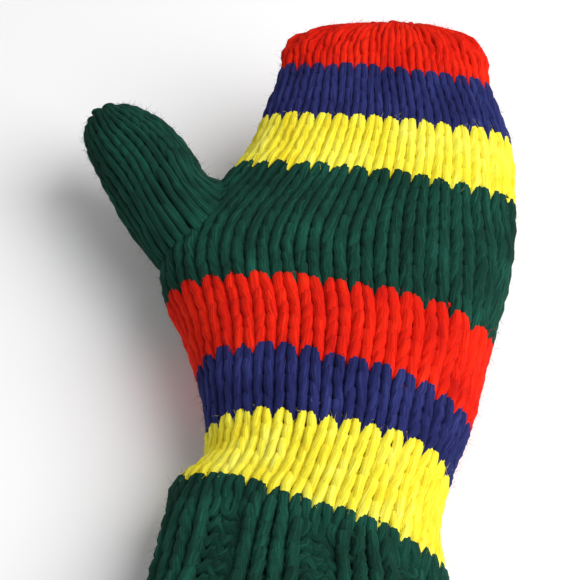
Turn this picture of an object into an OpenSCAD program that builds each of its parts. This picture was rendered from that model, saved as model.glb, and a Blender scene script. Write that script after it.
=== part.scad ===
// A striped, hand-knitted mitten, lying palm up in the shape it has when it is worn.
// +Y runs from the cuff to the fingertips, the palm faces +Z, and the thumb points to -X.
// The underside is flattened where it lies on its support, which is the plane Z = 0.
// All lengths are in millimetres and all angles in degrees.

/* [Hand pocket] */
// Width across the palm, without the thumb
palm_w = 100; // [90:1:106]
// Thickness through the palm at the heel of the hand
palm_t = 54; // [48:1:58]
// Width across the fingers, under the crown
finger_w = 72; // [62:1:76]
// How far the relaxed fingers curl up from the palm
finger_curl = 31; // [20:1:36]

/* [Cuff] */
// Length of the ribbed cuff
cuff_len = 65; // [50:1:90]
// Width of the cuff at its mouth
cuff_w = 94; // [88:1:104]
// Width of the wrist, just past the cuff
wrist_w = 75; // [70:1:80]

/* [Stripes] */
// Length of the yellow stripe at the wrist
lower_yellow_len = 24; // [18:1:26]
// Length of the blue stripe beyond it
lower_blue_len = 19; // [16:1:26]
// Length of the red stripe across the heel of the hand
lower_red_len = 29; // [24:1:34]
// Length of the green band that carries the thumb
green_len = 50; // [46:1:56]
// Length of the yellow stripe over the knuckles
upper_yellow_len = 20; // [16:1:24]
// Length of the blue stripe over the fingers
upper_blue_len = 19; // [16:1:24]
// Length of the red crown, before its gathered end
crown_len = 23; // [20:1:26]

/* [Thumb] */
// Width of the thumb at its first round
thumb_w = 36; // [32:1:38]
// Thickness of the thumb at its first round
thumb_t = 35; // [30:1:36]

/* [Fabric] */
// Thickness of the knitted wall
wall = 5.5; // [4:0.5:6]
// Diameter of the yarn
yarn_d = 3; // [2:0.5:3.5]

/* [Hidden] */

green = [0.05, 0.27, 0.20];
blue = [0.13, 0.15, 0.42];
red = [0.85, 0.12, 0.05];
yellow = [0.95, 0.90, 0.20];

// Distances along the hand, from the cuff's mouth, where one piece ends and the next begins
edge_end = 5;
cuff_end = cuff_len;
lower_yellow_end = cuff_end + lower_yellow_len;
lower_blue_end = lower_yellow_end + lower_blue_len;
lower_red_end = lower_blue_end + lower_red_len;
green_end = lower_red_end + green_len;
upper_yellow_end = green_end + upper_yellow_len;
upper_blue_end = upper_yellow_end + upper_blue_len;
crown_end = upper_blue_end + crown_len;
wrist_at = cuff_end + 10;
thumb_at = lower_red_end + 29;
// The finger pocket is hollow up to here, and its gathered end is solid knitting
pocket_end = crown_end - 11;

// Each row of the table is one cross-section of the hand, read smoothly in between:
// distance along the hand, centre X, centre Y, centre Z, tilt up of the section, turn of the
// section about Z, half its width, half its thickness.
hand = [
    [0, 0, 0, 24, 0, 0, cuff_w / 2, 26],
    [cuff_end - 30, 1.5, cuff_end - 30, 21, 0, 6, cuff_w / 2 - 3.5, 23],
    [cuff_end, 0.5, cuff_end, 19, 0, 12, wrist_w / 2 + 5.5, 21],
    [wrist_at, 2, wrist_at, 21, 0, 8, wrist_w / 2, 23],
    [lower_yellow_end, 3, lower_yellow_end, 23, 0, 3, wrist_w / 2, 25],
    [lower_blue_end, 1.5, lower_blue_end, 25, 0, 5, wrist_w / 2 + 5.5, palm_t / 2],
    [lower_red_end, -2, lower_red_end, 26, 5, 1, palm_w / 2, palm_t / 2 - 1],
    [thumb_at - 3, 1.5, thumb_at - 3, 30, 12, 0, palm_w / 2, palm_t / 2 - 4],
    [green_end, 4, green_end - 1, 36, 19, 0, palm_w / 2 - 3.5, palm_t / 2 - 8],
    [upper_yellow_end, 5.5, upper_yellow_end - 2, 43.5, 24, -2, palm_w / 2 - 8, palm_t / 2 - 10],
    [upper_blue_end, 2.5, upper_blue_end - 4.5, 52, 28, -2, finger_w / 2, palm_t / 2 - 12.5],
    [crown_end - 13, 1.5, crown_end - 19.5, 56.5, finger_curl, -5, finger_w / 2 - 2, 12.5],
    [crown_end - 6, 1.5, crown_end - 14, 59.5, finger_curl, -7, finger_w / 2 - 8.5, 10],
    [crown_end, 3, crown_end - 10.5, 60, finger_curl, -8, finger_w / 2 - 22, 5.5]
];

// The same for the thumb: distance from the palm, centre X, Y and Z, heading from +Y towards -X,
// tilt up, half its width, half its thickness.
thumb = [
    [0, -57.5, thumb_at + 0.5, 30, 60, 0, thumb_w / 2 - 0.5, thumb_t / 2 - 0.5],
    [8, -62.3, thumb_at + 8.5, 30, 52, 3, thumb_w / 2 - 0.5, thumb_t / 2],
    [20, -69.4, thumb_at + 18.5, 31, 43, 5, thumb_w / 2 - 0.6, thumb_t / 2 - 1],
    [32, -77.5, thumb_at + 27.5, 32.5, 40, 7, thumb_w / 2 - 1.5, thumb_t / 2 - 2.5],
    [43, -84.5, thumb_at + 34.5, 34, 38, 8, thumb_w / 2 - 3.5, thumb_t / 2 - 5],
    [48, -88, thumb_at + 38, 35, 36, 8, thumb_w / 2 - 6, thumb_t / 2 - 7.5],
    [52, -90, thumb_at + 40, 35.3, 36, 8, thumb_w / 2 - 10.5, thumb_t / 2 - 11]
];
gusset_end = 18;
thumb_tube_end = 40;
thumb_pocket_end = 43;
thumb_end = 52;

// Points around a section of the hand, of the thumb and of a yarn
hand_points = 36;
thumb_points = 24;
yarn_points = 8;
// Sections are ellipses squared off a little by this power
squareness = 2.3;
// The heel of the thumb swells the palm sideways by this much, over this reach
mound_w = 9.5;
mound_start = thumb_at - 46;
mound_end = thumb_at + 30;
// The thumb's base spans this much of the palm each way: along the hand, and round it
base_reach = 17.5;
base_angle = 44;
// The opening from the palm into the thumb, each way from its middle, along the hand
window_reach = 12;
// Space between pieces that touch without being knitted together
gap = 0.5;
// Space between one stripe and the next, where the loops of the two hook into each other
seam = 0.3;

// Number of the table row that starts the stretch in which distance d lies
function stretch(table, d) = max([for (i = [0 : len(table) - 2]) if (table[i][0] <= d || i == 0) i]);

// Slope of every column at row i, from its two neighbours
function slope(table, i) =
    let (lo = max(i - 1, 0), hi = min(i + 1, len(table) - 1))
    (table[hi] - table[lo]) / (table[hi][0] - table[lo][0]);

// All columns at distance d, on a smooth cubic between the two nearest rows
function section(table, d) =
    let (i = stretch(table, d), h = table[i + 1][0] - table[i][0], t = (d - table[i][0]) / h)
    table[i] * (1 + 2 * t) * pow(1 - t, 2) + slope(table, i) * h * t * pow(1 - t, 2)
    + table[i + 1] * (3 - 2 * t) * pow(t, 2) - slope(table, i + 1) * h * (1 - t) * pow(t, 2);

// Squared-off cosine or sine: keeps the sign, raises the size
function squared(v) = sign(v) * pow(abs(v), 2 / squareness);

// Sideways swelling of the palm at the heel of the thumb
function mound(d) =
    d <= mound_start || d >= mound_end ? 0
    : mound_w * pow(sin(180 * (d - mound_start) / (mound_end - mound_start)), 2);

// Point on the hand: distance along it, angle round it from +X through +Z, depth below the outside
function hand_point(d, a, depth) =
    let (q = section(hand, d),
         side = (q[6] - depth) * squared(cos(a)) - mound(d) * pow(max(0, -cos(a)), 1.5),
         up = (q[7] - depth) * squared(sin(a)))
    [q[1] + side * cos(q[5]),
     q[2] - side * sin(q[5]) - up * sin(q[4]),
     max(q[3] + up * cos(q[4]), depth)];

// Point on the thumb: distance from the palm, angle round it from the finger side through +Z, depth
function thumb_point(d, a, depth) =
    let (q = section(thumb, d),
         side = (q[6] - depth) * cos(a),
         up = (q[7] - depth) * sin(a))
    [q[1] + side * cos(q[4]) + up * sin(q[4]) * sin(q[5]),
     q[2] + side * sin(q[4]) - up * cos(q[4]) * sin(q[5]),
     q[3] + up * cos(q[5])];

// Point on the oval where the thumb leaves the palm, at angle a round it, scaled by k
function base_point(a, k, depth) =
    hand_point(thumb_at + k * base_reach * cos(a), 180 - k * base_angle * sin(a), depth);

// Closed rings of points: one per distance along the hand or the thumb
function hand_rings(ds, depth) =
    [for (d = ds) [for (j = [0 : hand_points - 1]) hand_point(d, j * 360 / hand_points, depth)]];
function thumb_rings(ds, depth) =
    [for (d = ds) [for (j = [0 : thumb_points - 1]) thumb_point(d, j * 360 / thumb_points, depth)]];
function base_ring(k, depth) =
    [for (j = [0 : thumb_points - 1]) base_point(j * 360 / thumb_points, k, depth)];

// Evenly spaced distances from a to b
function steps(a, b, count) = [for (i = [0 : count]) a + (b - a) * i / count];

function flatten(lists) = [for (list = lists) for (item = list) item];
function reversed(list) = [for (i = [len(list) - 1 : -1 : 0]) list[i]];

// Faces between successive rings of n points, the first of them point number first.
// Cells for which hole_at says true are left open.
function skin(first, rings, n, hole = [0, 0, 0, 0]) = [
    for (i = [0 : rings - 2], j = [0 : n - 1])
        let (a = first + i * n + j, b = first + i * n + (j + 1) % n)
        if (!(i >= hole[0] && i < hole[1] && j >= hole[2] && j < hole[3])) [a, b, b + n, a + n]
];

function turned_over(faces) = [for (f = faces) reversed(f)];

// Faces that join the same row of points on an outer and an inner skin
function rim(outer, inner, row) = [
    for (k = [0 : len(row) - 2]) [outer + row[k], inner + row[k], inner + row[k + 1], outer + row[k + 1]]
];
function round_row(n, start) = [for (j = [0 : n]) start + j % n];

// A knitted band with open ends: outside rings, and the same number of inside rings
module band(outside, inside, hole = [0, 0, 0, 0]) {
    n = len(outside[0]);
    rings = len(outside);
    inner = rings * n;
    last = (rings - 1) * n;
    hole_rim = hole[1] == 0 ? [] : concat(
        rim(0, inner, [for (j = [hole[2] : hole[3]]) hole[1] * n + j]),
        rim(0, inner, [for (i = [hole[1] : -1 : hole[0]]) i * n + hole[3]]),
        rim(0, inner, [for (j = [hole[3] : -1 : hole[2]]) hole[0] * n + j]),
        rim(0, inner, [for (i = [hole[0] : hole[1]]) i * n + hole[2]]));
    polyhedron(
        concat(flatten(outside), flatten(inside)),
        concat(skin(0, rings, n, hole),
               turned_over(skin(inner, rings, n, hole)),
               rim(0, inner, round_row(n, 0)),
               turned_over(rim(0, inner, round_row(n, last))),
               hole_rim),
        convexity = 6);
}

// A knitted cap: open at its first ring, closed at its last, outside and inside
module cap(outside, inside) {
    n = len(outside[0]);
    inner = len(outside) * n;
    outer_last = inner - n;
    inner_last = inner + (len(inside) - 1) * n;
    polyhedron(
        concat(flatten(outside), flatten(inside)),
        concat(skin(0, len(outside), n),
               turned_over(skin(inner, len(inside), n)),
               rim(0, inner, round_row(n, 0)),
               [[for (j = [0 : n - 1]) outer_last + j]],
               [[for (j = [n - 1 : -1 : 0]) inner_last + j]]),
        convexity = 6);
}

// Unit vector along v
function unit(v) = v / norm(v);

// Ring of points round place p on a path that heads along t; across is any direction not along it
function yarn_ring(p, t, across, r) =
    let (u = unit(cross(t, across)), v = cross(unit(t), u))
    [for (j = [0 : yarn_points - 1])
        p + r * (cos(j * 360 / yarn_points) * u + sin(j * 360 / yarn_points) * v)];

// A length of yarn along an open row of points
module yarn(path, across, r) {
    count = len(path);
    rings = [for (i = [0 : count - 1])
        yarn_ring(path[i], path[min(i + 1, count - 1)] - path[max(i - 1, 0)], across, r)];
    last = (count - 1) * yarn_points;
    polyhedron(
        flatten(rings),
        concat(turned_over(skin(0, count, yarn_points)),
               [[for (j = [0 : yarn_points - 1]) j]],
               [[for (j = [yarn_points - 1 : -1 : 0]) last + j]]),
        convexity = 4);
}

// A ring of yarn along a closed row of points
module yarn_loop(path, across, r) {
    count = len(path);
    rings = [for (i = [0 : count])
        yarn_ring(path[i % count], path[(i + 1) % count] - path[(i + count - 1) % count], across, r)];
    faces = [for (f = skin(0, count + 1, yarn_points)) [for (k = f) k % (count * yarn_points)]];
    polyhedron(flatten([for (i = [0 : count - 1]) rings[i]]), turned_over(faces), convexity = 4);
}

// A yarn end woven in on the wrong side, round the hand at distance d from angle a to angle b
module woven_end(d, a, b) {
    r = yarn_d / 2;
    bends = 10;
    path = [for (i = [0 : bends]) hand_point(d + 1.5 * sin(i * 180), a + (b - a) * i / bends, wall + r + gap)];
    yarn(path, [0, 1, 0], r);
}

module hand_band(from, to, count) {
    ds = steps(from + seam, to, count);
    band(hand_rings(ds, 0), hand_rings(ds, wall));
}

module cast_on_edge() {
    color(green) hand_band(-seam, edge_end, 1);
}

module ribbed_cuff() {
    color(green) hand_band(edge_end, cuff_end, 6);
}

module lower_yellow_stripe() {
    color(yellow) hand_band(cuff_end, lower_yellow_end, 3);
}

module lower_blue_stripe() {
    color(blue) hand_band(lower_yellow_end, lower_blue_end, 3);
}

module lower_red_stripe() {
    color(red) hand_band(lower_blue_end, lower_red_end, 4);
}

// The band has an opening at its thumb side, framed by the rings either side of it
module palm_green_band() {
    ds = concat(steps(lower_red_end + seam, thumb_at - window_reach, 2),
                [for (k = [-1, 0, 1]) thumb_at + k * window_reach / 2],
                steps(thumb_at + window_reach, green_end, 2));
    first = 15;
    last = 21;
    color(green) band(hand_rings(ds, 0), hand_rings(ds, wall), [2, 6, first, last]);
}

module upper_yellow_stripe() {
    color(yellow) hand_band(green_end, upper_yellow_end, 3);
}

module upper_blue_stripe() {
    color(blue) hand_band(upper_yellow_end, upper_blue_end, 3);
}

module red_crown() {
    ds = steps(upper_blue_end + seam, pocket_end, 2);
    color(red) cap(hand_rings(concat(ds, steps(pocket_end + 3, crown_end, 2)), 0), hand_rings(ds, wall));
}

// The drawn-up loop lies just outside the gathered end of the crown
module crown_gather_yarn() {
    r = yarn_d / 2;
    q = section(hand, crown_end);
    across = [cos(q[5]), -sin(q[5]), 0];
    above = [0, -sin(q[4]), cos(q[4])];
    ahead = cross(above, across) / norm(cross(above, across));
    centre = [q[1], q[2], q[3]] + ahead * (r + gap);
    half_w = q[6] - 6;
    half_t = q[7] - 2.5;
    path = [for (j = [0 : 15]) centre + across * half_w * cos(j * 22.5) + above * half_t * sin(j * 22.5)];
    color(red) yarn_loop(path, ahead, r);
}

// The gusset stands on the palm's outside and is open into it
module thumb_gusset() {
    ds = steps(8, gusset_end, 2);
    inner_scale = 1 - wall / base_reach;
    color(green) band(concat([base_ring(1, -gap)], thumb_rings(ds, 0)),
                      concat([base_ring(inner_scale, -gap)], thumb_rings(ds, wall)));
}

module thumb_tube() {
    ds = steps(gusset_end + seam, thumb_tube_end, 4);
    color(green) band(thumb_rings(ds, 0), thumb_rings(ds, wall));
}

module thumb_tip() {
    ds = [thumb_tube_end + seam, thumb_pocket_end];
    color(green) cap(thumb_rings(concat(ds, steps(thumb_pocket_end + 4, thumb_end, 2)), 0), thumb_rings(ds, wall));
}

module thumb_gather_yarn() {
    r = yarn_d / 2;
    q = section(thumb, thumb_end);
    ahead = [-sin(q[4]) * cos(q[5]), cos(q[4]) * cos(q[5]), sin(q[5])];
    side = [cos(q[4]), sin(q[4]), 0];
    centre = [q[1], q[2], q[3]] + ahead * (r + gap / 2);
    path = [for (j = [0 : 11]) centre + side * 3.5 * cos(j * 30) + cross(side, ahead) * 3 * sin(j * 30)];
    color(green) yarn_loop(path, ahead, r);
}

// The ridge of picked-up stitches runs round the thumb's opening, on the wrong side
module thumb_pickup_seam() {
    r = yarn_d / 2;
    path = [for (j = [0 : 19]) base_point(j * 18, 0.97, wall + r + gap)];
    color(green) yarn_loop(path, [1, 0, 0], r);
}

// The end of the cast-on runs straight up the inside of the cuff
module cast_on_tail() {
    r = yarn_d / 2;
    path = [for (d = steps(3, 43, 10)) hand_point(d, 35, wall + r + gap)];
    color(green) yarn(path, [0, 0, 1], r);
}

module cuff_yarn_end() {
    color(green) woven_end(cuff_end - 4, 20, 70);
}

module blue_yarn_end() {
    color(blue) woven_end(lower_yellow_end + 4, 20, 65);
}

module red_yarn_end() {
    color(red) woven_end(lower_blue_end + 4, 20, 65);
}

module green_yarn_end() {
    color(green) woven_end(lower_red_end + 4, 20, 65);
}

module finger_blue_yarn_end() {
    color(blue) woven_end(upper_yellow_end + 4, 20, 70);
}

module crown_yarn_end() {
    color(red) woven_end(upper_blue_end + 4, 20, 70);
}

module thumb_yarn_end() {
    r = yarn_d / 2;
    path = [for (d = steps(gusset_end + 2, thumb_tube_end - 4, 8)) thumb_point(d, 30, wall + r + gap)];
    color(green) yarn(path, [0, 0, 1], r);
}

cast_on_edge();
ribbed_cuff();
lower_yellow_stripe();
lower_blue_stripe();
lower_red_stripe();
palm_green_band();
upper_yellow_stripe();
upper_blue_stripe();
red_crown();
crown_gather_yarn();
thumb_gusset();
thumb_tube();
thumb_tip();
thumb_gather_yarn();
thumb_pickup_seam();
cast_on_tail();
cuff_yarn_end();
blue_yarn_end();
red_yarn_end();
green_yarn_end();
finger_blue_yarn_end();
crown_yarn_end();
thumb_yarn_end();
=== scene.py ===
"""A chunky striped mitten, knitted in the round, with a ribbed cuff and a separate thumb.

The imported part's soft solids say where the fabric is. Here each of them is replaced by the yarn it is
really made of: one strand to a stripe, which runs round and round the hand and hooks every stitch through
the stitch of the round before. All shapes are worked out in millimetres and become metres in the mesh.
"""

import logging
from dataclasses import dataclass, field
from enum import Enum
from typing import Callable, Protocol

import bpy
import numpy as np
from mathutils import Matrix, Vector


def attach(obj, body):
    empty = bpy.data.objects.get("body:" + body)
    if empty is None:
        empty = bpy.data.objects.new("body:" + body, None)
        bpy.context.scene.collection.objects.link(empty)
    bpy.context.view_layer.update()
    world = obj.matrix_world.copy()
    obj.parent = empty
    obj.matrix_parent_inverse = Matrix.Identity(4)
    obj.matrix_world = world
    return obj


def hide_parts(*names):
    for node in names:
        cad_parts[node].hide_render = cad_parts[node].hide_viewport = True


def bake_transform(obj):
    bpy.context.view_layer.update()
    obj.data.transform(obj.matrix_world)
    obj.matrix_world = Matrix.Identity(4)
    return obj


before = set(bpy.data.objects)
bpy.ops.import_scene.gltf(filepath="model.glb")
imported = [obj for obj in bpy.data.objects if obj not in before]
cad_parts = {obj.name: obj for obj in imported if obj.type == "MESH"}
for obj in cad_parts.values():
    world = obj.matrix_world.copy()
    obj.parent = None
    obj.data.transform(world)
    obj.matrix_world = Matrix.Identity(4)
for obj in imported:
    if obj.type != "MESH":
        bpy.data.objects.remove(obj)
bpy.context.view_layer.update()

log = logging.getLogger("mitten")
MM = 0.001
HAND_WALES = 30
CUFF_WALES = 28
THUMB_WALES = 16
Array = np.ndarray


def smooth(x: Array) -> Array:
    """Smooth step: 0 below 0, 1 above 1, and 3x^2 - 2x^3 in between."""
    x = np.clip(x, 0.0, 1.0)
    return x * x * (3 - 2 * x)


def unit(v: Array) -> Array:
    """Vectors of the last axis brought to length 1."""
    return v / np.maximum(np.linalg.norm(v, axis=-1, keepdims=True), 1e-12)


# ---------------------------------------------------------------------------------------------------------
# The forms that the fabric follows
# ---------------------------------------------------------------------------------------------------------


@dataclass(frozen=True)
class SectionTable:
    """Cross-sections along a limb: each row is a distance and then any number of columns."""

    rows: tuple[tuple[float, ...], ...]

    def read(self, d: Array) -> Array:
        """Every column at distances d, on a cubic through the two nearest rows.

        The cubic's slope at a row is the slope between that row's two neighbours.

        Args:
            d: Distances, one axis.

        Returns:
            One line of columns for each distance.
        """
        table = np.array(self.rows, float)
        x = table[:, 0]
        ends = np.arange(len(x))
        lo, hi = np.maximum(ends - 1, 0), np.minimum(ends + 1, len(x) - 1)
        slope = (table[hi] - table[lo]) / (x[hi] - x[lo])[:, None]
        i = np.clip(np.searchsorted(x, d, side="right") - 1, 0, len(x) - 2)
        h = (x[i + 1] - x[i])[:, None]
        t = (d - x[i])[:, None] / h
        return (
            table[i] * (1 + 2 * t) * (1 - t) ** 2
            + slope[i] * h * t * (1 - t) ** 2
            + table[i + 1] * (3 - 2 * t) * t**2
            - slope[i + 1] * h * (1 - t) * t**2
        )


class Form(Protocol):
    """A tube-like surface that fabric is laid on."""

    unroller: "Unroller"

    def point(self, d: Array, a: Array, depth: Array) -> Array:
        """Points at distances d along the form, angles a in degrees and depths below its outside."""

    def girth(self, d: Array) -> Array:
        """Length once round the form at distances d."""


@dataclass
class Unroller:
    """Even spacing round a form: turns a share of the way round, by length, into an angle."""

    point: Callable[[Array, Array, Array], Array]
    reach: float
    start_angle: float
    depth: float
    rows: int = 140
    marks: int = 720
    angles: Array = field(init=False)
    lengths: Array = field(init=False)

    def __post_init__(self) -> None:
        """Measures the way round at evenly spaced distances and inverts it."""
        d = np.linspace(0, self.reach, self.rows)
        a = self.start_angle + np.linspace(0, 360, self.marks + 1)
        grid_d, grid_a = np.meshgrid(d, a, indexing="ij")
        p = self.point(grid_d, grid_a, np.full_like(grid_d, self.depth))
        steps = np.linalg.norm(np.diff(p, axis=1), axis=2)
        total = np.concatenate([np.zeros((self.rows, 1)), np.cumsum(steps, axis=1)], axis=1)
        self.lengths = total[:, -1]
        even = np.linspace(0, 1, self.marks + 1)
        self.angles = np.stack([np.interp(even, row / row[-1], a) for row in total])

    def angle(self, turn: Array, d: Array) -> Array:
        """Angle at a share of a turn, read between the four nearest measured marks."""
        whole = np.floor(turn)
        y = np.clip(d / self.reach, 0, 1) * (self.rows - 1)
        x = (turn - whole) * self.marks
        i = np.clip(y.astype(int), 0, self.rows - 2)
        j = np.clip(x.astype(int), 0, self.marks - 1)
        v, u = y - i, x - j
        t = self.angles
        low = t[i, j] * (1 - u) + t[i, j + 1] * u
        high = t[i + 1, j] * (1 - u) + t[i + 1, j + 1] * u
        return low * (1 - v) + high * v + 360 * whole

    def girth(self, d: Array) -> Array:
        """Length once round at distances d."""
        return np.interp(d, np.linspace(0, self.reach, self.rows), self.lengths)


@dataclass
class Hand:
    """The cuff, palm and fingers: squared-off ellipses along a centre line that curls up at the fingers.

    A table row holds the distance along the hand, the centre's X, Y and Z, the section's tilt and turn,
    and half its width and half its thickness.
    """

    palm_w: float = 100.0
    palm_t: float = 54.0
    finger_w: float = 72.0
    finger_curl: float = 31.0
    cuff_w: float = 94.0
    wrist_w: float = 75.0
    squareness: float = 2.3
    mound_w: float = 9.5
    mound_start: float = 120.0
    mound_end: float = 196.0
    wall: float = 5.5
    reach: float = 252.0
    jog_angle: float = -62.0
    table: SectionTable = field(init=False)
    unroller: Unroller = field(init=False)

    def __post_init__(self) -> None:
        """Works the table out from the driving widths and measures the way round."""
        palm, wrist, finger, cuff = self.palm_w / 2, self.wrist_w / 2, self.finger_w / 2, self.cuff_w / 2
        thick, curl = self.palm_t / 2, self.finger_curl
        self.table = SectionTable(
            (
                (0, 0, 0, 24, 0, 0, cuff, 26),
                (35, 1.5, 35, 21, 0, 6, cuff - 3.5, 23),
                (65, 0.5, 65, 19, 0, 12, wrist + 5.5, 21),
                (75, 2, 75, 21, 0, 8, wrist, 23),
                (89, 3, 89, 23, 0, 3, wrist, 25),
                (108, 1.5, 108, 25, 0, 5, wrist + 5.5, thick),
                (137, -2, 137, 26, 5, 1, palm, thick - 1),
                (163, 1.5, 163, 30, 12, 0, palm, thick - 4),
                (187, 4, 186, 36, 19, 0, palm - 3.5, thick - 8),
                (207, 5.5, 205, 43.5, 24, -2, palm - 8, thick - 10),
                (226, 2.5, 221.5, 52, 28, -2, finger, thick - 12.5),
                (236, 1.5, 229.5, 56.5, curl, -5, finger - 2, 12.5),
                (243, 1.5, 235, 59.5, curl, -7, finger - 8.5, 10),
                (249, 3, 238.5, 60, curl, -8, finger - 22, 5.5),
                (252, 2.5, 238.5, 59.5, curl, -8, 1.5, 1),
            )
        )
        self.unroller = Unroller(self.point, self.reach, self.jog_angle, self.wall / 2)

    def squared(self, v: Array) -> Array:
        """Squared-off cosine or sine: its sign, times its size to the power 2 / squareness."""
        return np.sign(v) * np.abs(v) ** (2 / self.squareness)

    def mound(self, d: Array) -> Array:
        """Sideways swelling at the heel of the thumb: a squared half sine between its two ends."""
        share = (d - self.mound_start) / (self.mound_end - self.mound_start)
        return np.where((share > 0) & (share < 1), self.mound_w * np.sin(np.pi * share) ** 2, 0)

    def point(self, d: Array, a: Array, depth: Array) -> Array:
        """Points at distances d, angles a in degrees and depths below the outside.

        The section's own side and up are the squared cosine and sine times its half sizes. Side is then
        turned about Z and up is tilted back about X, and nothing goes below the support that it lies on.
        """
        d, a, depth = np.broadcast_arrays(d, a, depth)
        q = self.table.read(d.ravel().astype(float)).reshape(d.shape + (8,))
        rad, tilt, turn = np.radians(a), np.radians(q[..., 4]), np.radians(q[..., 5])
        half_w = np.maximum(q[..., 6] - depth, 0.3)
        half_t = np.maximum(q[..., 7] - depth, 0.3)
        side = half_w * self.squared(np.cos(rad)) - self.mound(d) * np.maximum(0, -np.cos(rad)) ** 1.5
        up = half_t * self.squared(np.sin(rad))
        return np.stack(
            [
                q[..., 1] + side * np.cos(turn),
                q[..., 2] - side * np.sin(turn) - up * np.sin(tilt),
                np.maximum(q[..., 3] + up * np.cos(tilt), depth),
            ],
            axis=-1,
        )

    def girth(self, d: Array) -> Array:
        """Length once round the hand at distances d."""
        return self.unroller.girth(d)


@dataclass
class Thumb:
    """The thumb: ellipses along a bent centre line, fanned out at its base onto the side of the palm.

    A table row holds the distance from the palm, the centre's X, Y and Z, the heading from +Y towards -X,
    the tilt up, and half the width and half the thickness.
    """

    hand: Hand
    base_at: float = 166.0
    base_reach: float = 17.5
    base_angle: float = 44.0
    free_from: float = 9.0
    width: float = 34.5
    thickness: float = 34.0
    wall: float = 5.5
    reach: float = 54.0
    table: SectionTable = field(init=False)
    unroller: Unroller = field(init=False)

    def __post_init__(self) -> None:
        """Works the table out from the thumb's width and thickness and measures the way round."""
        w, t, y = self.width / 2, self.thickness / 2, self.base_at
        self.table = SectionTable(
            (
                (0, -57.5, y + 0.5, 30, 60, 0, w - 0.5, t - 0.5),
                (8, -62.3, y + 8.5, 30, 52, 3, w - 0.5, t),
                (20, -69.4, y + 18.5, 31, 43, 5, w - 0.6, t - 1),
                (32, -77.5, y + 27.5, 32.5, 40, 7, w - 1.5, t - 2.5),
                (43, -84.5, y + 34.5, 34, 38, 8, w - 3.5, t - 5),
                (48, -88, y + 38, 35, 36, 8, w - 6, t - 7.5),
                (52, -90, y + 40, 35.3, 36, 8, w - 10.5, t - 11),
                (54, -90.5, y + 40.5, 35.4, 36, 8, 1, 1),
            )
        )
        self.unroller = Unroller(self.point, self.reach, -70.0, self.wall / 2)

    def base(self, a: Array, scale: Array, depth: Array) -> Array:
        """Points of the oval on the palm that the thumb grows from, at angles a, scaled about its middle."""
        rad = np.radians(a)
        d = self.base_at + scale * self.base_reach * np.cos(rad)
        return self.hand.point(d, 180 - scale * self.base_angle * np.sin(rad), depth)

    def point(self, d: Array, a: Array, depth: Array) -> Array:
        """Points at distances d, angles a in degrees and depths below the outside.

        Past free_from they lie on the ellipses. Nearer the palm they pass smoothly to the oval on it.
        """
        d, a, depth = np.broadcast_arrays(d, a, depth)
        q = self.table.read(d.ravel().astype(float)).reshape(d.shape + (8,))
        rad, head, tilt = np.radians(a), np.radians(q[..., 4]), np.radians(q[..., 5])
        side = np.maximum(q[..., 6] - depth, 0.3) * np.cos(rad)
        up = np.maximum(q[..., 7] - depth, 0.3) * np.sin(rad)
        free = np.stack(
            [
                q[..., 1] + side * np.cos(head) + up * np.sin(head) * np.sin(tilt),
                q[..., 2] + side * np.sin(head) - up * np.cos(head) * np.sin(tilt),
                q[..., 3] + up * np.cos(tilt),
            ],
            axis=-1,
        )
        scale = 1 - depth / self.base_reach
        rooted = self.base(a, scale, np.full_like(depth, 1.0, dtype=float))
        share = smooth(d / self.free_from)[..., None]
        return rooted * (1 - share) + free * share

    def girth(self, d: Array) -> Array:
        """Length once round the thumb at distances d."""
        return self.unroller.girth(d)


# ---------------------------------------------------------------------------------------------------------
# Finishes
# ---------------------------------------------------------------------------------------------------------


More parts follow.
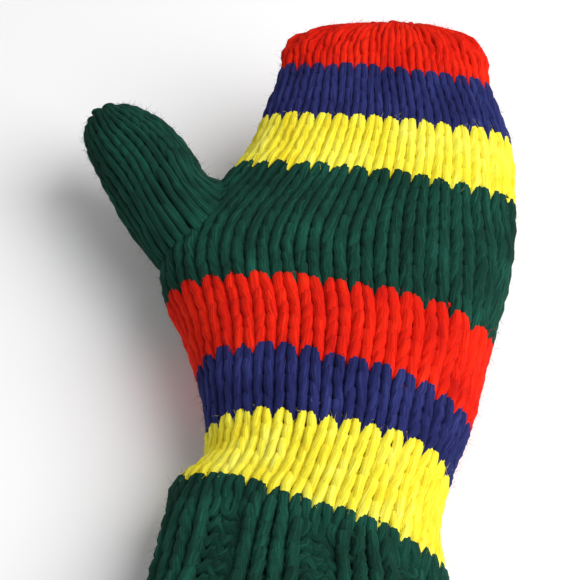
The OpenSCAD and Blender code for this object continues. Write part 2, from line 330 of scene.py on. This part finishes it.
@dataclass(frozen=True)
class YarnFinish:
    """Soft brushed yarn: fine fibres that run along the strand, a little uneven in dye and fluff."""

    slot: str
    colour: tuple[float, float, float]
    deep: tuple[float, float, float]
    pale: tuple[float, float, float]
    sheen: float = 0.12

    def material(self) -> bpy.types.Material:
        """Builds the finish. Fibre streaks are noise drawn out along the strand's own UV map."""
        mat = bpy.data.materials.new(self.slot)
        mat.use_nodes = True
        tree = mat.node_tree
        tree.nodes.clear()
        out = tree.nodes.new("ShaderNodeOutputMaterial")
        shader = tree.nodes.new("ShaderNodeBsdfPrincipled")
        shader.inputs["Roughness"].default_value = 0.92
        shader.inputs["Specular IOR Level"].default_value = 0.18
        shader.inputs["Sheen Weight"].default_value = self.sheen
        shader.inputs["Sheen Roughness"].default_value = 0.45
        shader.inputs["Sheen Tint"].default_value = (*self.pale, 1.0)
        tree.links.new(shader.outputs["BSDF"], out.inputs["Surface"])

        coords = tree.nodes.new("ShaderNodeTexCoord")
        streak_map = tree.nodes.new("ShaderNodeMapping")
        streak_map.inputs["Scale"].default_value = (70.0, 18.0, 1.0)
        streaks = tree.nodes.new("ShaderNodeTexNoise")
        streaks.inputs["Scale"].default_value = 1.0
        streaks.inputs["Detail"].default_value = 4.0
        streaks.inputs["Roughness"].default_value = 0.6
        tree.links.new(coords.outputs["UV"], streak_map.inputs["Vector"])
        tree.links.new(streak_map.outputs["Vector"], streaks.inputs["Vector"])

        blotches = tree.nodes.new("ShaderNodeTexNoise")
        blotches.inputs["Scale"].default_value = 70.0
        blotches.inputs["Detail"].default_value = 2.0
        tree.links.new(coords.outputs["Object"], blotches.inputs["Vector"])

        ramp = tree.nodes.new("ShaderNodeValToRGB")
        ramp.color_ramp.elements[0].position = 0.36
        ramp.color_ramp.elements[0].color = (*self.deep, 1.0)
        ramp.color_ramp.elements[1].position = 0.64
        ramp.color_ramp.elements[1].color = (*self.pale, 1.0)
        middle = ramp.color_ramp.elements.new(0.5)
        middle.color = (*self.colour, 1.0)
        mixed = tree.nodes.new("ShaderNodeMath")
        mixed.operation = "MULTIPLY_ADD"
        mixed.inputs[1].default_value = 0.35
        tree.links.new(blotches.outputs["Fac"], mixed.inputs[0])
        scaled = tree.nodes.new("ShaderNodeMath")
        scaled.operation = "MULTIPLY"
        scaled.inputs[1].default_value = 0.65
        tree.links.new(streaks.outputs["Fac"], scaled.inputs[0])
        tree.links.new(scaled.outputs["Value"], mixed.inputs[2])
        tree.links.new(mixed.outputs["Value"], ramp.inputs["Fac"])
        tree.links.new(ramp.outputs["Color"], shader.inputs["Base Color"])

        bump = tree.nodes.new("ShaderNodeBump")
        bump.inputs["Strength"].default_value = 0.65
        bump.inputs["Distance"].default_value = 0.0007
        tree.links.new(streaks.outputs["Fac"], bump.inputs["Height"])
        tree.links.new(bump.outputs["Normal"], shader.inputs["Normal"])
        return mat


GREEN = YarnFinish("green_yarn", (0.0033, 0.043, 0.028), (0.0014, 0.020, 0.013), (0.008, 0.086, 0.057))
BLUE = YarnFinish("blue_yarn", (0.015, 0.019, 0.108), (0.007, 0.009, 0.056), (0.034, 0.044, 0.190))
RED = YarnFinish("red_yarn", (0.720, 0.011, 0.001), (0.480, 0.004, 0.001), (0.860, 0.028, 0.004), 0.06)
YELLOW = YarnFinish("yellow_yarn", (0.900, 0.800, 0.042), (0.760, 0.570, 0.012), (0.960, 0.910, 0.160))


@dataclass
class Wardrobe:
    """Builds each finish once and dresses pieces in it."""

    made: dict[str, bpy.types.Material] = field(default_factory=dict)

    def dress(self, piece: bpy.types.Object, finish: YarnFinish) -> None:
        """Gives the piece the finish and names the record's slot for it."""
        if finish.slot not in self.made:
            self.made[finish.slot] = finish.material()
        piece.data.materials.append(self.made[finish.slot])


# ---------------------------------------------------------------------------------------------------------
# Meshes
# ---------------------------------------------------------------------------------------------------------


def mesh_from_quads(name: str, points: Array, quads: Array, uv: Array, caps: list[Array]) -> bpy.types.Object:
    """A smooth-shaded mesh object at the origin.

    Args:
        name: Name of the piece.
        points: Vertices in millimetres, one line each.
        quads: Four vertex numbers a line.
        uv: Two coordinates for every corner of every quad.
        caps: Rows of vertex numbers, each of them one more face.

    Returns:
        The linked object.
    """
    mesh = bpy.data.meshes.new(name)
    corners = np.concatenate([quads.ravel(), *[np.asarray(c).ravel() for c in caps]]).astype(np.int32)
    totals = np.concatenate([np.full(len(quads), 4), *[[len(c)] for c in caps]]).astype(np.int32)
    starts = np.concatenate([[0], np.cumsum(totals)[:-1]]).astype(np.int32)
    mesh.vertices.add(len(points))
    mesh.vertices.foreach_set("co", (points * MM).astype(np.float32).ravel())
    mesh.loops.add(len(corners))
    mesh.loops.foreach_set("vertex_index", corners)
    mesh.polygons.add(len(totals))
    mesh.polygons.foreach_set("loop_start", starts)
    mesh.polygons.foreach_set("loop_total", totals)
    layer = mesh.uv_layers.new(name="yarn")
    flat = np.zeros((len(corners), 2), np.float32)
    flat[: len(uv)] = uv
    layer.data.foreach_set("uv", flat.ravel())
    mesh.polygons.foreach_set("use_smooth", np.ones(len(totals), bool))
    mesh.update(calc_edges=True)
    mesh.validate()
    piece = bpy.data.objects.new(name, mesh)
    bpy.context.scene.collection.objects.link(piece)
    return piece


@dataclass
class Tube:
    """A strand's centre line and the round section that is carried along it."""

    centre: Array
    outward: Array
    radius: Array
    proud: float = 1.0

    def axes(self) -> tuple[Array, Array, Array]:
        """Tangent, outward and sideways unit vectors at every centre point.

        Outward is the given direction less its part along the strand, and sideways is square to both.
        """
        along = unit(np.gradient(self.centre, axis=0))
        out = unit(self.outward - np.sum(self.outward * along, axis=1, keepdims=True) * along)
        return along, out, np.cross(along, out)

    def rings(self, sides: int) -> Array:
        """Points of the section: centre + radius (proud cos of outward + sin of sideways)."""
        _, out, across = self.axes()
        a = np.arange(sides) * 2 * np.pi / sides
        cos, sin = np.cos(a)[None, :, None], np.sin(a)[None, :, None]
        spread = self.proud * cos * out[:, None] + sin * across[:, None]
        return self.centre[:, None] + self.radius[:, None, None] * spread


def tube_faces(rings: int, sides: int, first: int) -> tuple[Array, list[Array]]:
    """Quads between successive rings and a cap at either end, numbered from vertex first."""
    i, j = np.meshgrid(np.arange(rings - 1), np.arange(sides), indexing="ij")
    k = (j + 1) % sides
    quads = np.stack([i * sides + j, (i + 1) * sides + j, (i + 1) * sides + k, i * sides + k], axis=-1)
    start = np.arange(sides)
    end = (rings - 1) * sides + np.arange(sides)[::-1]
    return quads.reshape(-1, 4) + first, [start + first, end + first]


def tube_uv(centre: Array, sides: int) -> Array:
    """Coordinates of every quad corner: metres along the strand, and share of the way round it."""
    run = np.concatenate([[0], np.cumsum(np.linalg.norm(np.diff(centre, axis=0), axis=1))]) * MM
    i, j = np.meshgrid(np.arange(len(centre) - 1), np.arange(sides), indexing="ij")
    along = np.stack([run[i], run[i + 1], run[i + 1], run[i]], axis=-1)
    round_it = np.stack([j, j, j + 1, j + 1], axis=-1) / sides
    return np.stack([along, round_it], axis=-1).reshape(-1, 2)


def tubes_piece(name: str, tubes: list[Tube], sides: int, floor: float = 0.0) -> bpy.types.Object:
    """One piece made of several tubes, pressed flat where they would pass below the floor."""
    points, quads, uvs, caps = [], [], [], []
    first = 0
    for tube in tubes:
        ring_points = tube.rings(sides).reshape(-1, 3)
        faces, ends = tube_faces(len(tube.centre), sides, first)
        points.append(ring_points)
        quads.append(faces)
        uvs.append(tube_uv(tube.centre, sides))
        caps.extend(ends)
        first += len(ring_points)
    all_points = np.concatenate(points)
    all_points[:, 2] = np.maximum(all_points[:, 2], floor)
    return mesh_from_quads(name, all_points, np.concatenate(quads), np.concatenate(uvs), caps)


# ---------------------------------------------------------------------------------------------------------
# Knitting
# ---------------------------------------------------------------------------------------------------------


class Pattern(Enum):
    """How the stitches of a round alternate."""

    STOCKING = "every stitch faces out"
    RIB = "two face out, two face in"


@dataclass(frozen=True)
class Gauge:
    """The shape of one stitch and the strand that makes it.

    With t counted in stitches, the strand runs at t + sway sin(4 pi t) across the wales and at
    rise cos(2 pi t) rounds up and down. In and out it runs at swing (0.85 - 1.85 |cos(2 pi t)|^3) + lap
    2.6 cos(2 pi t) sin(2 pi t)^2 millimetres: the two legs stand in front at one level, the loops that
    join them lie behind, drawn a little thinner, and the top of every leg laps over the foot of the
    one above it. In a rib, the wales that face out stand rib_pull wider apart and the yarn is a share
    rib_full thicker. Behind the hand they stand closer by a share back_close of that, the yarn is a
    share back_full thicker still, and loops are drawn thinner by a share back_even less.
    """

    wales: int = HAND_WALES
    sway: float = 0.155
    rise: float = 1.12
    swing: float = 1.0
    lap: float = 0.30
    start: float = 0.38
    taper: float = 0.2
    yarn_r: float = 2.02
    proud: float = 1.1
    segments: int = 14
    sides: int = 8
    rib_depth: float = 1.3
    rib_pull: float = 0.38
    rib_full: float = 0.05
    back_close: float = 0.45
    back_full: float = 0.22
    back_even: float = 0.9
    uneven: float = 0.05


@dataclass
class Rounds:
    """The ladder of rounds along a form: the distance at which each numbered round begins."""

    edges: tuple[float, ...]
    counts: tuple[int, ...]

    def distance(self, row: Array) -> Array:
        """Distance along the form at a row number, even between one stripe's edges."""
        marks = np.concatenate([[0], np.cumsum(self.counts)])
        last = len(self.edges) - 1
        step = (self.edges[last] - self.edges[last - 1]) / self.counts[-1]
        beyond = np.maximum(row - marks[-1], 0) * step
        return np.interp(row, marks, self.edges) + beyond

    def first_row(self, stripe: int) -> int:
        """Number of the stripe's first round."""
        return int(np.sum(self.counts[:stripe]))


@dataclass(frozen=True)
class Opening:
    """A hole that is left in a form's fabric: the stitches round it are drawn aside to its rim."""

    at: float = 166.0
    angle: float = 180.0
    reach: float = 12.0
    spread: float = 30.0
    outer: float = 1.46

    def part(self, d: Array, a: Array) -> tuple[Array, Array]:
        """Distances and angles after the stitches have been drawn aside.

        In units of the oval opening, a point at radius q inside outer goes out to
        1 + q (outer - 1) / outer, in the same direction.
        """
        x, y = (d - self.at) / self.reach, (a - self.angle) / self.spread
        q = np.maximum(np.hypot(x, y), 1e-6)
        grow = np.where(q < self.outer, (1 + q * (self.outer - 1) / self.outer) / q, 1.0)
        return self.at + x * grow * self.reach, self.angle + y * grow * self.spread


@dataclass(frozen=True)
class Drape:
    """How the wales lie on a form: how much closer they stand in front, and how far they are pulled round.

    Both are columns of a table along the form. Counted from the middle of the front, a share s of the
    fabric lies at s - close / (2 pi) sin(2 pi s), less the pull.
    """

    front: float = 0.42
    table: SectionTable = SectionTable(((0, 0.0, 0.0), (300, 0.0, 0.0)))

    def turn(self, u: Array, d: Array, wales: int) -> Array:
        """Share of a turn at wale u and distance d."""
        q = self.table.read(d.ravel()).reshape(d.shape + (3,))
        s = (u - round(self.front * wales)) / wales
        return self.front + s - q[..., 1] / (2 * np.pi) * np.sin(2 * np.pi * s) - q[..., 2]


@dataclass
class Knitter:
    """Knits strands onto a form."""

    form: Form
    gauge: Gauge
    rounds: Rounds
    drape: Drape
    wall: float
    seed: int
    turning: float = 0.12
    opening: Opening | None = None

    def wobble(self, u: Array, v: Array, phase: float) -> Array:
        """Hand-made unevenness: a few slow waves over wales and rounds that neighbours share."""
        rng = np.random.default_rng(self.seed + int(phase * 10))
        total = np.zeros_like(u)
        for _ in range(5):
            turns = rng.integers(1, 9)
            rise, shift = rng.uniform(0.15, 1.3), rng.uniform(0, 2 * np.pi)
            total += np.sin(2 * np.pi * turns * u / self.gauge.wales + rise * v + shift)
        return total / 5

    def facing(self, u: Array, pattern: Pattern) -> Array:
        """1 on wales that face out and -1 on wales that face in, with quick smooth changes between."""
        if pattern is Pattern.STOCKING:
            return np.ones_like(u)
        return np.clip(2.2 * np.sin(2 * np.pi * (u + 0.5) / 4), -1, 1)

    def climb(self, t: Array) -> Array:
        """Rounds climbed after t stitches: level nearly all the way, and up where the round begins."""
        whole, share = np.divmod(t / self.gauge.wales, 1)
        return whole + 0.5 * smooth((share - 1) / self.turning + 1) - 0.5 * (1 - smooth(share / self.turning))

    def strand(self, stripe: int, pattern: Pattern = Pattern.STOCKING, lumps: float = 0.5) -> Tube:
        """The one strand of a stripe, from its first stitch to its last.

        Wales of a rib that face in are crowded together and sink below the others, until the last rounds.

        Args:
            stripe: Number of the stripe on the ladder of rounds.
            pattern: How its stitches alternate.
            lumps: How far the fabric swells in and out over a few stitches, in millimetres.

        Returns:
            The strand.
        """
        g = self.gauge
        rows = self.rounds.counts[stripe]
        t = np.arange(rows * g.wales * g.segments + 1) / g.segments
        row = self.rounds.first_row(stripe) + g.start + self.climb(t)
        face = self.facing(t, pattern)
        up = np.cos(2 * np.pi * t)
        behind = 0.5 - 0.5 * np.cos(2 * np.pi * (t / g.wales - self.drape.front))
        stitch = g.swing * (0.85 - 1.85 * np.abs(up) ** 3) + 2.6 * g.lap * up * (1 - up**2)
        u = t + g.sway * np.sin(4 * np.pi * t)
        if pattern is Pattern.RIB:
            fade = 1 - smooth((row - rows + 2.2) / 1.2)
            face = face * fade + (1 - fade)
            lift = face * stitch + g.rib_depth * (face - 0.4) * fade
            pull = fade * g.rib_pull * (1 - g.back_close * behind)
            u = u + pull * 2 / np.pi * np.sin(2 * np.pi * (u - 0.5) / 4)
            up = up * (0.93 + 0.07 * face)
        else:
            lift = stitch
        v = row + g.rise * up
        tug = self.loose(t, row)
        u = u + g.uneven * (2.0 * self.wobble(u, v, 1.0) + 0.45 * tug[0] * np.sin(2 * np.pi * t) ** 2)
        v = v + g.uneven * (2.5 * self.wobble(u, v, 2.0) + 0.9 * tug[1] * np.cos(2 * np.pi * t) ** 2)
        swell = 0.5 + (lumps - 0.5) * smooth((v - self.rounds.first_row(stripe)) / 2.5)
        lift = lift + swell * (self.wobble(u, v, 4.0) + self.wobble(2.1 * u, 2.1 * v, 5.0)) + 0.13 * tug[2]
        d = np.clip(self.rounds.distance(v), 0.5, self.rounds.edges[-1] + 0.8)
        depth = self.wall / 2 - lift
        a = self.form.unroller.angle(self.drape.turn(u, d, g.wales), d)
        if self.opening is not None:
            d, a = self.opening.part(d, a)
        centre = self.form.point(d, a, depth)
        outward = unit(self.form.point(d, a, depth - 0.5) - self.form.point(d, a, depth + 0.5))
        crowd = np.clip(self.form.girth(d) / g.wales / 8.0, 0.45, 1.05) * (1 + 0.12 * (1 - face))
        thinned = g.taper * (0.5 + 0.5 * face) * (1 - g.back_even * behind)
        drawn = 1 - thinned * np.cos(2 * np.pi * t) ** 4
        if pattern is Pattern.RIB:
            drawn = drawn * (1 + g.rib_full + g.back_full * behind)
        radius = g.yarn_r * crowd * drawn * (1 + 0.07 * self.wobble(u * 7, v * 3, 3.0) + 0.035 * tug[3])
        return Tube(centre, outward, radius, g.proud)

    def loose(self, t: Array, row: Array) -> Array:
        """Four random amounts for each leg, read smoothly from leg to leg along the strand."""
        rng = np.random.default_rng(self.seed * 100 + int(row[0]))
        marks = np.arange(0, np.ceil(t[-1]) + 1, 0.5)
        return np.stack([np.interp(t, marks, rng.normal(0, 1, len(marks))) for _ in range(4)])


@dataclass(frozen=True)
class Plied:
    """A bare length of yarn: two plies laid round each other."""

    ply_r: float = 0.85
    offset: float = 0.72
    lay: float = 9.0
    sides: int = 8

    def plies(self, path: Array, outward: Array) -> list[Tube]:
        """The two plies along a path.

        Each ply's centre is path + offset (cos b outward + sin b sideways), where b grows by one turn in
        each lay's length and the plies are half a turn apart.

        Args:
            path: Points in millimetres, closely spaced.
            outward: A direction for each point that doesn't run along the path.

        Returns:
            Two tubes.
        """
        core = Tube(path, outward, np.full(len(path), self.ply_r))
        _, out, across = core.axes()
        run = np.concatenate([[0], np.cumsum(np.linalg.norm(np.diff(path, axis=0), axis=1))])
        tubes = []
        for half_turn in (0.0, np.pi):
            b = (2 * np.pi * run / self.lay + half_turn)[:, None]
            centre = path + self.offset * (np.cos(b) * out + np.sin(b) * across)
            tubes.append(Tube(centre, np.cos(b) * out + np.sin(b) * across, core.radius))
        return tubes


@dataclass
class Halo:
    """Stray fibres that stand off the yarn."""

    per_stitch: float = 24.0
    length: tuple[float, float] = (1.2, 3.8)
    thickness: float = 0.05
    bends: int = 2

    def grow(self, name: str, tube: Tube, stitches: int, seed: int) -> bpy.types.Object:
        """Fibres rooted at random on the outer side of the strand, each one a thin bent prism.

        A fibre starts at the strand's surface, leaves it partly along the strand and partly outwards,
        and curves sideways with the square of the way along it.
        """
        rng = np.random.default_rng(seed)
        count = int(stitches * self.per_stitch)
        along, out, across = tube.axes()
        at = rng.integers(1, len(tube.centre) - 1, count)
        a = rng.normal(0, 1.0, count)
        away = np.cos(a)[:, None] * out[at] + np.sin(a)[:, None] * across[at]
        root = tube.centre[at] + away * (tube.radius[at] * 0.9)[:, None]
        sign = rng.choice([-1.0, 1.0], count)[:, None]
        stand = away * rng.uniform(0.1, 0.7, (count, 1))
        lean = unit(stand + sign * along[at] + rng.normal(0, 0.35, (count, 3)))
        bend = unit(np.cross(lean, rng.normal(0, 1, (count, 3))))
        size = rng.uniform(*self.length, (count, 1))
        curl = rng.uniform(-0.5, 0.5, (count, 1))
        s = np.linspace(0, 1, self.bends + 1)
        straight = lean[:, None] * s[None, :, None]
        curled = (curl * bend)[:, None] * (s**2)[None, :, None]
        path = root[:, None] + size[:, None] * (straight + curled)
        side = unit(np.cross(lean, bend))
        angles = np.arange(3) * 2 * np.pi / 3
        cos, sin = np.cos(angles)[None, :, None], np.sin(angles)[None, :, None]
        ring = cos * bend[:, None] + sin * side[:, None]
        thin = self.thickness * (1 - 0.7 * s)
        points = path[:, :, None] + ring[:, None] * thin[None, :, None, None]
        points = points.reshape(-1, 3)
        points[:, 2] = np.maximum(points[:, 2], 0.02)
        rows = self.bends + 1
        quads, ends = tube_faces(rows, 3, 0)
        offset = (np.arange(count) * rows * 3)[:, None, None]
        all_quads = (quads[None] + offset).reshape(-1, 4)
        caps = [row for end in ends for row in (end[None] + offset[:, 0]).tolist()]
        uv = np.zeros((len(all_quads) * 4, 2), np.float32)
        return mesh_from_quads(name, points, all_quads, uv, [np.array(c) for c in caps])


# ---------------------------------------------------------------------------------------------------------
# The mitten
# ---------------------------------------------------------------------------------------------------------


@dataclass(frozen=True)
class Hinge:
    """Where fabric bends between two bodies."""

    near: str
    far: str
    start: tuple[float, float, float]
    end: tuple[float, float, float]


WRIST = Hinge("cuff", "palm", (0.0, 0.064, 0.012), (0.0, 0.092, 0.012))
KNUCKLES = Hinge("palm", "fingers", (0.0, 0.186, 0.040), (0.0, 0.207, 0.049))
THUMB_ROOT = Hinge("palm", "thumb", (-0.050, 0.164, 0.030), (-0.066, 0.182, 0.031))


@dataclass(frozen=True)
class Stripe:
    """One stripe of the hand: what it is called, how many rounds it has and what it is made of."""

    node: str
    rounds: int
    edge: float
    finish: YarnFinish
    pattern: Pattern = Pattern.STOCKING
    hinge: Hinge | None = None
    body: str = "palm"
    lumps: float = 0.5


HAND_STRIPES = (
    Stripe("ribbed_cuff", 14, 65.5, GREEN, Pattern.RIB, WRIST),
    Stripe("lower_yellow_stripe", 5, 89, YELLOW, hinge=WRIST),
    Stripe("lower_blue_stripe", 4, 108, BLUE, hinge=WRIST),
    Stripe("lower_red_stripe", 5, 137, RED),
    Stripe("palm_green_band", 9, 187, GREEN, hinge=KNUCKLES),
    Stripe("upper_yellow_stripe", 4, 207, YELLOW, hinge=KNUCKLES),
    Stripe("upper_blue_stripe", 4, 226, BLUE, hinge=KNUCKLES),
    Stripe("red_crown", 5, 251, RED, body="fingers", lumps=1.8),
)


HAND_DRAPE = Drape(
    table=SectionTable(
        (
            (0, 0.0, 0.0),
            (65, 0.0, 0.0),
            (86, -0.03, 0.0),
            (108, 0.0, 0.006),
            (137, 0.03, 0.022),
            (163, 0.05, 0.018),
            (187, 0.10, 0.004),
            (207, 0.13, 0.0),
            (260, 0.12, 0.0),
        )
    )
)
CUFF_DRAPE = Drape(table=SectionTable(((0, 0.0, 0.0), (40, 0.02, 0.0), (65, 0.067, 0.0), (80, 0.067, 0.0))))


@dataclass
class Mitten:
    """The whole mitten, made stripe by stripe from the cuff up."""

    wardrobe: Wardrobe
    hand: Hand = field(default_factory=Hand)
    cuff_from: float = 4.0

    def settle(self, piece: bpy.types.Object, hinge: Hinge | None, body: str) -> None:
        """Makes the piece ride on one body, or, where it spans a hinge, bakes its transform into its mesh and
        leaves it on no body.
        """
        if hinge is None:
            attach(piece, body)
        else:
            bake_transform(piece)

    def knit_hand(self) -> None:
        """Knits the cuff and every stripe of the hand."""
        edges = (self.cuff_from, *[s.edge for s in HAND_STRIPES])
        rounds = Rounds(edges, tuple(s.rounds for s in HAND_STRIPES))
        wall = self.hand.wall
        plain = Knitter(self.hand, Gauge(), rounds, HAND_DRAPE, wall, seed=5)
        round_thumb = Knitter(self.hand, Gauge(), rounds, HAND_DRAPE, wall, seed=5, opening=Opening())
        ribbed = Knitter(self.hand, Gauge(wales=CUFF_WALES), rounds, CUFF_DRAPE, wall, seed=6)
        for number, stripe in enumerate(HAND_STRIPES):
            knitter = ribbed if stripe.pattern is Pattern.RIB else plain
            if stripe.node == "palm_green_band":
                knitter = round_thumb
            tube = knitter.strand(number, stripe.pattern, stripe.lumps)
            piece = tubes_piece(f"{stripe.node}_knit", [tube], knitter.gauge.sides)
            self.wardrobe.dress(piece, stripe.finish)
            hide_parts(stripe.node)
            self.settle(piece, stripe.hinge, stripe.body)
            stitches = stripe.rounds * knitter.gauge.wales
            halo = Halo().grow(f"{stripe.node}_halo", tube, stitches, seed=20 + number)
            self.wardrobe.dress(halo, stripe.finish)
            self.settle(halo, stripe.hinge, stripe.body)
            log.info("%s: %d faces", piece.name, len(piece.data.polygons))

    def knit_thumb(self) -> None:
        """Knits the thumb from its pick-up round to its tip."""
        thumb = Thumb(self.hand)
        gauge = Gauge(wales=THUMB_WALES, yarn_r=2.2, swing=0.75, uneven=0.08)
        rounds = Rounds((0.0, 18.0, 40.0, 53.0), (3, 4, 3))
        knitter = Knitter(thumb, gauge, rounds, Drape(), thumb.wall, seed=9)
        nodes = ("thumb_gusset", "thumb_tube", "thumb_tip")
        for number, node in enumerate(nodes):
            tube = knitter.strand(number)
            piece = tubes_piece(f"{node}_knit", [tube], gauge.sides)
            self.wardrobe.dress(piece, GREEN)
            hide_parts(node)
            hinge = THUMB_ROOT if number < 2 else None
            self.settle(piece, hinge, "thumb")
            halo = Halo().grow(f"{node}_halo", tube, rounds.counts[number] * gauge.wales, seed=40 + number)
            self.wardrobe.dress(halo, GREEN)
            self.settle(halo, hinge, "thumb")


@dataclass
class Trimmings:
    """The small yarns that start, close and finish the knitting."""

    mitten: Mitten
    yarn: Plied = Plied()
    points: int = 160

    def add(
        self, node: str, form: Form, d: Array, a: Array, depth: Array, finish: YarnFinish, body: str
    ) -> None:
        """Lays a plied yarn on a form along distances, angles in degrees and depths, in place of a node."""
        self.lay(node, form.point(d, a, depth), form.point(d, a, depth - 1), finish, body, self.yarn)

    def lay(self, node: str, path: Array, above: Array, finish: YarnFinish, body: str, yarn: Plied) -> None:
        """Makes the plied yarn along a path, with its outward side towards the points above it."""
        piece = tubes_piece(f"{node}_ply", yarn.plies(path, above - path), yarn.sides)
        self.mitten.wardrobe.dress(piece, finish)
        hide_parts(node)
        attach(piece, body)
        log.info("%s: %d faces", piece.name, len(piece.data.polygons))

    def woven_end(
        self, node: str, at: float, finish: YarnFinish, body: str, start: float, stop: float
    ) -> None:
        """A yarn end darned along the wrong side of the hand, over and under every stitch it passes."""
        s = np.linspace(0, 1, self.points)
        d = at + 1.2 * np.sin(4 * np.pi * s)
        depth = self.mitten.hand.wall + 1.6 + 0.7 * np.sin(2 * np.pi * s * 5)
        self.add(node, self.mitten.hand, d, start + (stop - start) * s, depth, finish, body)

    def edge(self) -> None:
        """The cast-on: a thick cord of two strands that cross once at every wale of the cuff."""
        hand = self.mitten.hand
        s = np.linspace(0, 1.002, CUFF_WALES * 14)
        a = hand.unroller.angle(s, np.full_like(s, 2.5))
        d, depth = np.full_like(s, 2.7), np.full_like(s, 2.75)
        path = hand.point(d, a, depth)
        length = float(np.sum(np.linalg.norm(np.diff(path, axis=0), axis=1)))
        cord = Plied(ply_r=1.5, offset=1.05, lay=length / CUFF_WALES)
        self.lay("cast_on_edge", path, hand.point(d, a, depth - 1), GREEN, "cuff", cord)

    def gathers(self, thumb: Thumb) -> None:
        """The drawn-up rings at the crown and at the thumb's tip, in and out of the last stitches."""
        s = np.linspace(0, 1.01, self.points * 2)
        weave = 1.1 * np.cos(2 * np.pi * 10 * s)
        self.add("crown_gather_yarn", self.mitten.hand, 250.3 + 0 * s, 360 * s, 0.6 + weave, RED, "fingers")
        weave = 0.9 * np.cos(2 * np.pi * 7 * s)
        self.add("thumb_gather_yarn", thumb, 52.4 + 0 * s, 360 * s, 0.7 + weave, GREEN, "thumb")

    def pickup(self, thumb: Thumb) -> None:
        """The ridge of picked-up stitches round the thumb's opening, on the wrong side."""
        a = np.linspace(0, 362, self.points * 2)
        depth = thumb.wall + 1.6 + 0.6 * np.sin(np.radians(a) * 14)
        path = thumb.base(a, np.full_like(a, 0.97), depth)
        above = thumb.base(a, np.full_like(a, 0.97), depth - 1)
        self.lay("thumb_pickup_seam", path, above, GREEN, "palm", self.yarn)

    def build(self, thumb: Thumb) -> None:
        """Makes every small yarn."""
        self.edge()
        self.gathers(thumb)
        self.pickup(thumb)
        s = np.linspace(0, 1, self.points)
        side = 35 + 2.5 * np.sin(6 * np.pi * s)
        depth = self.mitten.hand.wall + 1.6 + 0.7 * np.sin(16 * np.pi * s)
        self.add("cast_on_tail", self.mitten.hand, 3 + 40 * s, side, depth, GREEN, "cuff")
        self.add("thumb_yarn_end", thumb, 20 + 16 * s, 30 + 0 * s, depth, GREEN, "thumb")
        self.woven_end("cuff_yarn_end", 61, GREEN, "cuff", 20, 70)
        self.woven_end("blue_yarn_end", 93, BLUE, "palm", 20, 65)
        self.woven_end("red_yarn_end", 112, RED, "palm", 20, 65)
        self.woven_end("green_yarn_end", 141, GREEN, "palm", 20, 65)
        self.woven_end("finger_blue_yarn_end", 211, BLUE, "fingers", 20, 70)
        self.woven_end("crown_yarn_end", 230, RED, "fingers", 20, 70)


@dataclass(frozen=True)
class Studio:
    """A pale floor, soft light and the camera."""

    azimuth: float = 9.0
    elevation: float = 52.0
    distance: float = 0.560
    lens: float = 108.0
    target: tuple[float, float, float] = (-0.018, 0.150, 0.025)

    def build(self) -> None:
        """Sets the studio up."""
        self.floor()
        self.lights()
        self.camera()
        bpy.context.scene.view_settings.view_transform = "Standard"

    def floor(self) -> None:
        """A plain pale floor just under the mitten."""
        side = 3.0
        mesh = bpy.data.meshes.new("floor")
        z = -0.0004
        corners = [(-side, -side, z), (side, -side, z), (side, side, z), (-side, side, z)]
        mesh.from_pydata(corners, [], [(0, 1, 2, 3)])
        floor = bpy.data.objects.new("floor", mesh)
        bpy.context.scene.collection.objects.link(floor)
        mat = bpy.data.materials.new("pale_floor")
        mat.use_nodes = True
        shader = mat.node_tree.nodes["Principled BSDF"]
        shader.inputs["Base Color"].default_value = (0.93, 0.93, 0.935, 1)
        shader.inputs["Roughness"].default_value = 0.9
        shader.inputs["Specular IOR Level"].default_value = 0.0
        mesh.materials.append(mat)

    def lights(self) -> None:
        """A broad key light from the upper right, a weaker fill and a pale surrounding."""
        aim = Vector(self.target)
        for name, place, size, power in (
            ("key", (0.64, 0.05, 0.84), 0.9, 14.0),
            ("fill", (-0.80, -0.30, 0.70), 0.9, 0.4),
        ):
            lamp = bpy.data.lights.new(name, "AREA")
            lamp.size = size
            lamp.energy = power
            holder = bpy.data.objects.new(name, lamp)
            holder.location = place
            holder.rotation_euler = (aim - Vector(place)).to_track_quat("-Z", "Y").to_euler()
            bpy.context.scene.collection.objects.link(holder)
        world = bpy.data.worlds.new("surroundings")
        world.use_nodes = True
        world.node_tree.nodes["Background"].inputs["Color"].default_value = (1, 1, 1, 1)
        world.node_tree.nodes["Background"].inputs["Strength"].default_value = 0.37
        bpy.context.scene.world = world

    def camera(self) -> None:
        """A camera above the cuff's right, looking down along the hand."""
        a, e = np.radians(self.azimuth), np.radians(self.elevation)
        back = Vector((np.sin(a) * np.cos(e), -np.cos(a) * np.cos(e), np.sin(e)))
        lens = bpy.data.cameras.new("camera")
        lens.lens = self.lens
        lens.sensor_width = 36.0
        lens.clip_start = 0.01
        holder = bpy.data.objects.new("camera", lens)
        holder.location = Vector(self.target) + back * self.distance
        holder.rotation_euler = (-back).to_track_quat("-Z", "Y").to_euler()
        bpy.context.scene.collection.objects.link(holder)
        bpy.context.scene.camera = holder


def main() -> None:
    """Builds the studio and the mitten."""
    logging.basicConfig(level=logging.INFO, format="%(name)s: %(message)s")
    Studio().build()
    mitten = Mitten(Wardrobe())
    mitten.knit_hand()
    mitten.knit_thumb()
    Trimmings(mitten).build(Thumb(mitten.hand))


if __name__ == "__main__":
    main()
